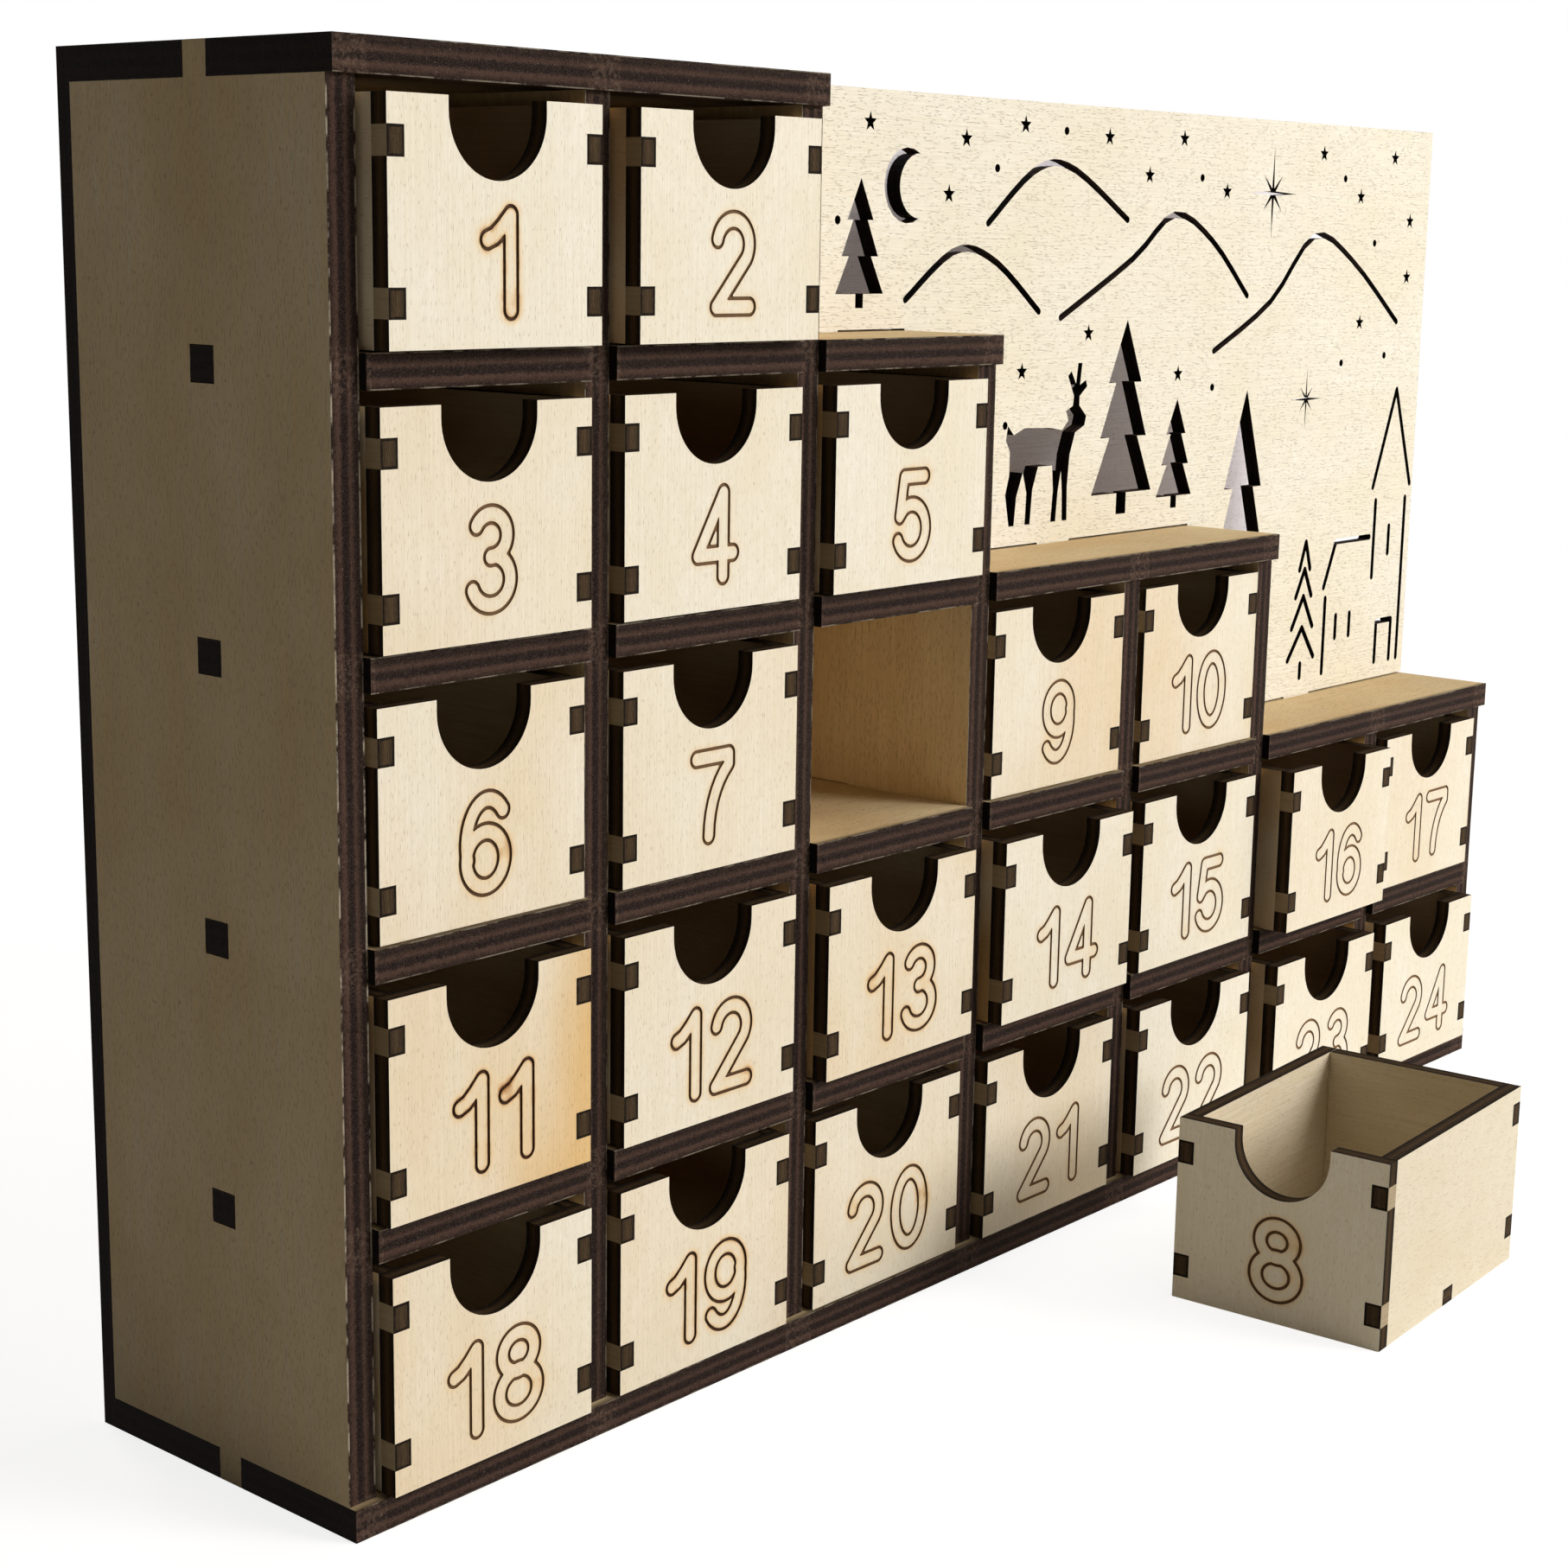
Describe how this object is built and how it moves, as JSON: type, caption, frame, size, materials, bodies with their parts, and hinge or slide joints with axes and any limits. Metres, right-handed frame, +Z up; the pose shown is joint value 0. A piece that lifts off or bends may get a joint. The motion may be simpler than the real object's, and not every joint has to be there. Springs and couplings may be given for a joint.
{
  "type": "wooden drawer advent calendar",
  "caption": "Stepped plywood calendar case with pull-out drawers in lapped cubbies and a cut-out winter scene panel standing on its steps.",
  "frame": {"origin": "centre of the case's underside, where it stands", "axes": "+X to the right along the case, drawers open towards -Y, +Z up"},
  "size_m": [0.3376, 0.1347, 0.21],
  "materials": {
    "board_ply": "thick birch plywood, bare faces, burnt edges",
    "sheet_ply": "thin birch plywood, bare faces, burnt edges",
    "back_ply": "thin plywood with a matt grey face"
  },
  "bodies": {
    "case": {"bottom_board": "board_ply", "shelf_4": "board_ply", "shelf_3": "board_ply", "shelf_2": "board_ply", "shelf_1": "board_ply", "top_board": "board_ply", "left_panel": "board_ply", "upright_1_2": "board_ply", "upright_2_3": "board_ply", "upright_3_4": "board_ply", "upright_4_5": "board_ply", "upright_5_6": "board_ply", "upright_6_7": "board_ply", "right_wall": "board_ply", "back_panel": "back_ply", "scene_panel": "sheet_ply"},
    "drawer_01": {"drawer_01": "sheet_ply"},
    "drawer_02": {"drawer_02": "sheet_ply"},
    "drawer_03": {"drawer_03": "sheet_ply"},
    "drawer_04": {"drawer_04": "sheet_ply"},
    "drawer_05": {"drawer_05": "sheet_ply"},
    "drawer_06": {"drawer_06": "sheet_ply"},
    "drawer_07": {"drawer_07": "sheet_ply"},
    "drawer_09": {"drawer_09": "sheet_ply"},
    "drawer_10": {"drawer_10": "sheet_ply"},
    "drawer_11": {"drawer_11": "sheet_ply"},
    "drawer_12": {"drawer_12": "sheet_ply"},
    "drawer_13": {"drawer_13": "sheet_ply"},
    "drawer_14": {"drawer_14": "sheet_ply"},
    "drawer_15": {"drawer_15": "sheet_ply"},
    "drawer_16": {"drawer_16": "sheet_ply"},
    "drawer_17": {"drawer_17": "sheet_ply"},
    "drawer_18": {"drawer_18": "sheet_ply"},
    "drawer_19": {"drawer_19": "sheet_ply"},
    "drawer_20": {"drawer_20": "sheet_ply"},
    "drawer_21": {"drawer_21": "sheet_ply"},
    "drawer_22": {"drawer_22": "sheet_ply"},
    "drawer_23": {"drawer_23": "sheet_ply"},
    "drawer_24": {"drawer_24": "sheet_ply"},
    "loose_drawer": {"drawer_08_front": "sheet_ply", "drawer_08_left_side": "sheet_ply", "drawer_08_right_side": "sheet_ply", "drawer_08_back": "sheet_ply", "drawer_08_bottom": "sheet_ply"}
  },
  "joints": [
    {"name": "drawer_01_slide", "type": "slide", "parent": "case", "child": "drawer_01", "axis": [0, -1, 0], "range_m": [-0.00412, 0.05528]},
    {"name": "drawer_02_slide", "type": "slide", "parent": "case", "child": "drawer_02", "axis": [0, -1, 0], "range_m": [-0.00452, 0.05488]},
    {"name": "drawer_03_slide", "type": "slide", "parent": "case", "child": "drawer_03", "axis": [0, -1, 0], "range_m": [-0.00209, 0.05731]},
    {"name": "drawer_04_slide", "type": "slide", "parent": "case", "child": "drawer_04", "axis": [0, -1, 0], "range_m": [-0.00152, 0.05788]},
    {"name": "drawer_05_slide", "type": "slide", "parent": "case", "child": "drawer_05", "axis": [0, -1, 0], "range_m": [-0.00243, 0.05697]},
    {"name": "drawer_06_slide", "type": "slide", "parent": "case", "child": "drawer_06", "axis": [0, -1, 0], "range_m": [-0.00062, 0.05878]},
    {"name": "drawer_07_slide", "type": "slide", "parent": "case", "child": "drawer_07", "axis": [0, -1, 0], "range_m": [-0.00141, 0.05799]},
    {"name": "drawer_09_slide", "type": "slide", "parent": "case", "child": "drawer_09", "axis": [0, -1, 0], "range_m": [-0.00022, 0.05918]},
    {"name": "drawer_10_slide", "type": "slide", "parent": "case", "child": "drawer_10", "axis": [0, -1, 0], "range_m": [-0.00011, 0.05929]},
    {"name": "drawer_11_slide", "type": "slide", "parent": "case", "child": "drawer_11", "axis": [0, -1, 0], "range_m": [-0.00209, 0.05731]},
    {"name": "drawer_12_slide", "type": "slide", "parent": "case", "child": "drawer_12", "axis": [0, -1, 0], "range_m": [-0.00192, 0.05748]},
    {"name": "drawer_13_slide", "type": "slide", "parent": "case", "child": "drawer_13", "axis": [0, -1, 0], "range_m": [-0.00288, 0.05652]},
    {"name": "drawer_14_slide", "type": "slide", "parent": "case", "child": "drawer_14", "axis": [0, -1, 0], "range_m": [-0.00412, 0.05528]},
    {"name": "drawer_15_slide", "type": "slide", "parent": "case", "child": "drawer_15", "axis": [0, -1, 0], "range_m": [-0.00192, 0.05748]},
    {"name": "drawer_16_slide", "type": "slide", "parent": "case", "child": "drawer_16", "axis": [0, -1, 0], "range_m": [-0.00649, 0.05291]},
    {"name": "drawer_17_slide", "type": "slide", "parent": "case", "child": "drawer_17", "axis": [0, -1, 0], "range_m": [-0.00158, 0.05782]},
    {"name": "drawer_18_slide", "type": "slide", "parent": "case", "child": "drawer_18", "axis": [0, -1, 0], "range_m": [-0.00231, 0.05709]},
    {"name": "drawer_19_slide", "type": "slide", "parent": "case", "child": "drawer_19", "axis": [0, -1, 0], "range_m": [-0.0013, 0.0581]},
    {"name": "drawer_20_slide", "type": "slide", "parent": "case", "child": "drawer_20", "axis": [0, -1, 0], "range_m": [-0.00079, 0.05861]},
    {"name": "drawer_21_slide", "type": "slide", "parent": "case", "child": "drawer_21", "axis": [0, -1, 0], "range_m": [-0.00141, 0.03139]},
    {"name": "drawer_22_slide", "type": "slide", "parent": "case", "child": "drawer_22", "axis": [0, -1, 0], "range_m": [-0.00271, 0.02819]},
    {"name": "drawer_23_slide", "type": "slide", "parent": "case", "child": "drawer_23", "axis": [0, -1, 0], "range_m": [-0.00502, 0.05438]},
    {"name": "drawer_24_slide", "type": "slide", "parent": "case", "child": "drawer_24", "axis": [0, -1, 0], "range_m": [-0.00389, 0.05551]},
    {"name": "loose_drawer_push", "type": "slide", "parent": "case", "child": "loose_drawer", "axis": [0, -1, 0], "range_m": [0, 0.06]}
  ]
}
